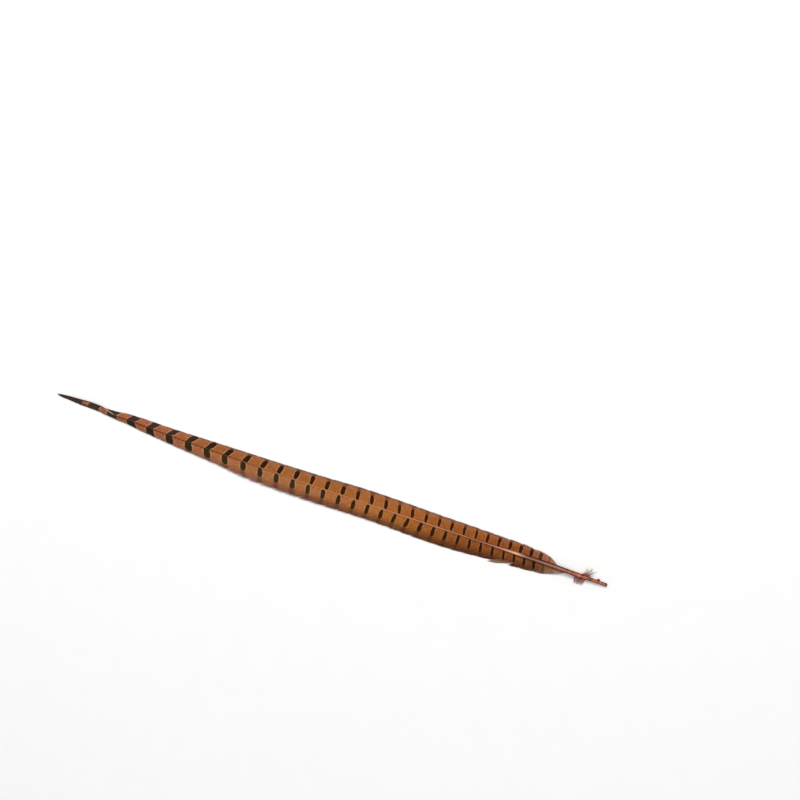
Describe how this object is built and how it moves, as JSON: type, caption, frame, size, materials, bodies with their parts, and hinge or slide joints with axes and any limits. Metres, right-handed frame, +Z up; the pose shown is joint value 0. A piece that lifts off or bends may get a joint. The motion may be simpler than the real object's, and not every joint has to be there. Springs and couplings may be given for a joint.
{
  "type": "pheasant tail feather",
  "caption": "Long copper-brown pheasant tail feather with black bars, a rolled tip, a bare quill and two small tufts of down, lying flat.",
  "frame": {"origin": "on the surface that the feather lies on, under the middle of its box", "axes": "+X along the shaft towards the cut end of the quill, +Y towards the narrow vane, +Z up, out of the feather's outer side"},
  "size_m": [0.511, 0.0284, 0.0053],
  "materials": {
    "vane": "silky barbs, copper brown with black bars",
    "shaft": "smooth horn with a soft shine"
  },
  "bodies": {
    "root": {"feather": "vane"}
  },
  "joints": []
}
